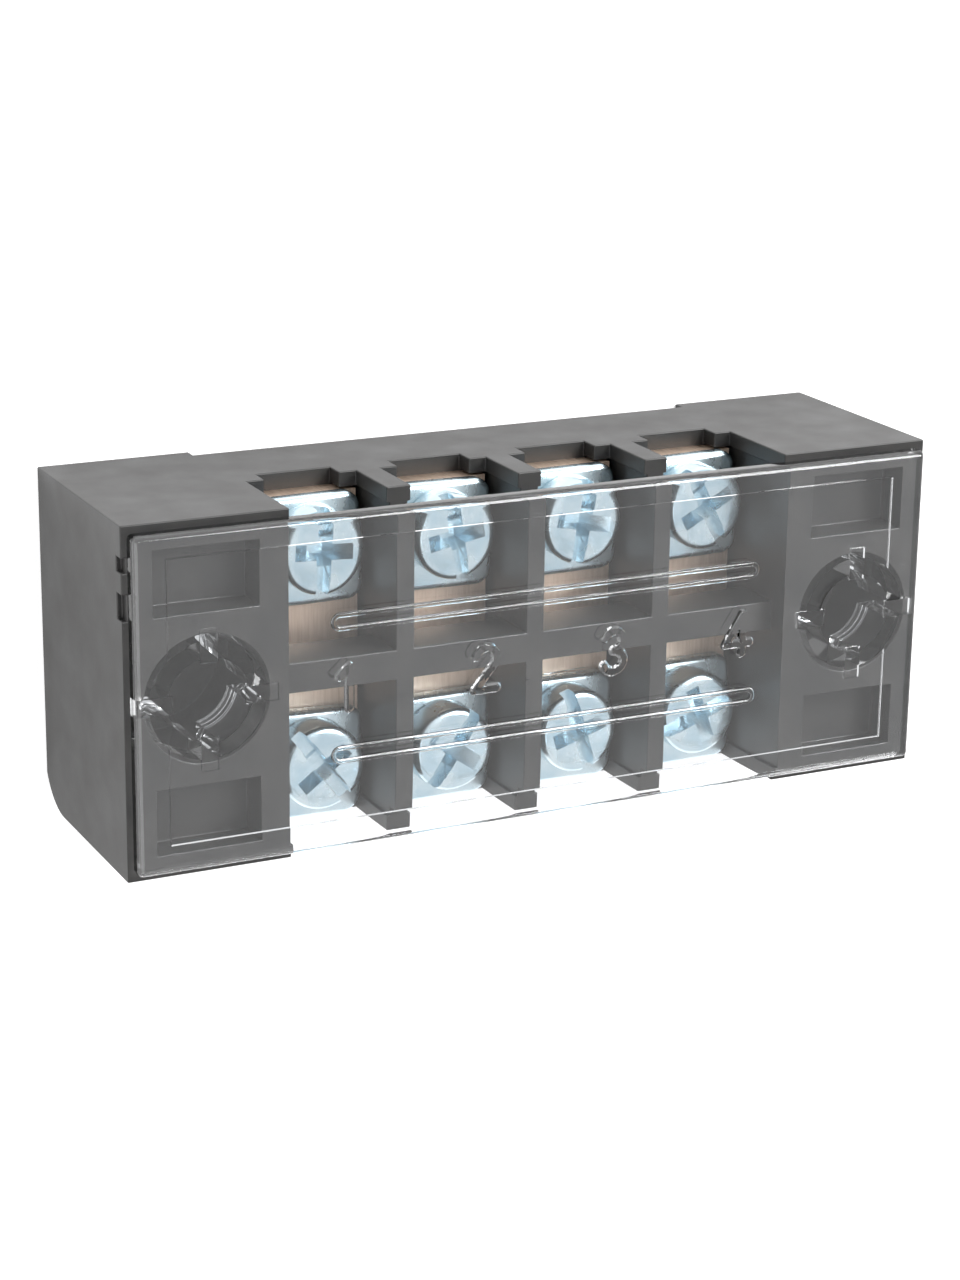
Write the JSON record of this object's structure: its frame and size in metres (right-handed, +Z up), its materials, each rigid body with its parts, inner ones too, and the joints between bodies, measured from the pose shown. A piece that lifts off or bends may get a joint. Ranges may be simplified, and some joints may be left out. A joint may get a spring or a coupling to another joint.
{
  "type": "barrier terminal strip",
  "caption": "Barrier terminal strip: dark moulded base with screw clamp terminals between barriers, open wire entries on both long sides and a clear clip-on cover over the screws.",
  "frame": {"origin": "centre of the base's resting face, under the middle of the strip", "axes": "+X along the strip from pole 1 to pole 4, +Y towards the wire side of row a, +Z up from the mounting surface towards the cover"},
  "size_m": [0.055, 0.022, 0.0165],
  "materials": {
    "body_plastic": "moulded black, satin",
    "cover_plastic": "clear, glossy",
    "conductor_metal": "tinned brass, satin",
    "clamp_metal": "blue zinc plating, bright",
    "screw_metal": "blue zinc plating, bright"
  },
  "bodies": {
    "strip": {"base_body": "body_plastic", "conductor_1": "conductor_metal", "conductor_2": "conductor_metal", "conductor_3": "conductor_metal", "conductor_4": "conductor_metal"},
    "cover": {"cover": "cover_plastic"},
    "clamp_a1": {"clamp_a1": "clamp_metal"},
    "screw_a1": {"screw_a1": "screw_metal"},
    "clamp_a2": {"clamp_a2": "clamp_metal"},
    "screw_a2": {"screw_a2": "screw_metal"},
    "clamp_a3": {"clamp_a3": "clamp_metal"},
    "screw_a3": {"screw_a3": "screw_metal"},
    "clamp_a4": {"clamp_a4": "clamp_metal"},
    "screw_a4": {"screw_a4": "screw_metal"},
    "clamp_b1": {"clamp_b1": "clamp_metal"},
    "screw_b1": {"screw_b1": "screw_metal"},
    "clamp_b2": {"clamp_b2": "clamp_metal"},
    "screw_b2": {"screw_b2": "screw_metal"},
    "clamp_b3": {"clamp_b3": "clamp_metal"},
    "screw_b3": {"screw_b3": "screw_metal"},
    "clamp_b4": {"clamp_b4": "clamp_metal"},
    "screw_b4": {"screw_b4": "screw_metal"}
  },
  "joints": [
    {"name": "cover_lift", "type": "slide", "parent": "strip", "child": "cover", "axis": [0, 0, 1], "range_m": [0, 0.012]},
    {"name": "clamp_a1_lift", "type": "slide", "parent": "strip", "child": "clamp_a1", "axis": [0, 0, 1], "range_m": [0, 0.002]},
    {"name": "screw_a1_turn", "type": "hinge", "parent": "clamp_a1", "child": "screw_a1", "pos_m": [-0.01335, 0.0069, 0.0095], "axis": [0, 0, 1], "range_deg": [0, 1440]},
    {"name": "clamp_a2_lift", "type": "slide", "parent": "strip", "child": "clamp_a2", "axis": [0, 0, 1], "range_m": [0, 0.002]},
    {"name": "screw_a2_turn", "type": "hinge", "parent": "clamp_a2", "child": "screw_a2", "pos_m": [-0.00445, 0.0069, 0.0095], "axis": [0, 0, 1], "range_deg": [0, 1440]},
    {"name": "clamp_a3_lift", "type": "slide", "parent": "strip", "child": "clamp_a3", "axis": [0, 0, 1], "range_m": [0, 0.002]},
    {"name": "screw_a3_turn", "type": "hinge", "parent": "clamp_a3", "child": "screw_a3", "pos_m": [0.00445, 0.0069, 0.0095], "axis": [0, 0, 1], "range_deg": [0, 1440]},
    {"name": "clamp_a4_lift", "type": "slide", "parent": "strip", "child": "clamp_a4", "axis": [0, 0, 1], "range_m": [0, 0.002]},
    {"name": "screw_a4_turn", "type": "hinge", "parent": "clamp_a4", "child": "screw_a4", "pos_m": [0.01335, 0.0069, 0.0095], "axis": [0, 0, 1], "range_deg": [0, 1440]},
    {"name": "clamp_b1_lift", "type": "slide", "parent": "strip", "child": "clamp_b1", "axis": [0, 0, 1], "range_m": [0, 0.002]},
    {"name": "screw_b1_turn", "type": "hinge", "parent": "clamp_b1", "child": "screw_b1", "pos_m": [-0.01335, -0.0069, 0.0095], "axis": [0, 0, 1], "range_deg": [0, 1440]},
    {"name": "clamp_b2_lift", "type": "slide", "parent": "strip", "child": "clamp_b2", "axis": [0, 0, 1], "range_m": [0, 0.002]},
    {"name": "screw_b2_turn", "type": "hinge", "parent": "clamp_b2", "child": "screw_b2", "pos_m": [-0.00445, -0.0069, 0.0095], "axis": [0, 0, 1], "range_deg": [0, 1440]},
    {"name": "clamp_b3_lift", "type": "slide", "parent": "strip", "child": "clamp_b3", "axis": [0, 0, 1], "range_m": [0, 0.002]},
    {"name": "screw_b3_turn", "type": "hinge", "parent": "clamp_b3", "child": "screw_b3", "pos_m": [0.00445, -0.0069, 0.0095], "axis": [0, 0, 1], "range_deg": [0, 1440]},
    {"name": "clamp_b4_lift", "type": "slide", "parent": "strip", "child": "clamp_b4", "axis": [0, 0, 1], "range_m": [0, 0.002]},
    {"name": "screw_b4_turn", "type": "hinge", "parent": "clamp_b4", "child": "screw_b4", "pos_m": [0.01335, -0.0069, 0.0095], "axis": [0, 0, 1], "range_deg": [0, 1440]}
  ],
  "couplings": [
    {"joint": "screw_a1_turn", "follows": "clamp_a1_lift", "rad_per_m": 12566},
    {"joint": "screw_a2_turn", "follows": "clamp_a2_lift", "rad_per_m": 12566},
    {"joint": "screw_a3_turn", "follows": "clamp_a3_lift", "rad_per_m": 12566},
    {"joint": "screw_a4_turn", "follows": "clamp_a4_lift", "rad_per_m": 12566},
    {"joint": "screw_b1_turn", "follows": "clamp_b1_lift", "rad_per_m": 12566},
    {"joint": "screw_b2_turn", "follows": "clamp_b2_lift", "rad_per_m": 12566},
    {"joint": "screw_b3_turn", "follows": "clamp_b3_lift", "rad_per_m": 12566},
    {"joint": "screw_b4_turn", "follows": "clamp_b4_lift", "rad_per_m": 12566}
  ]
}
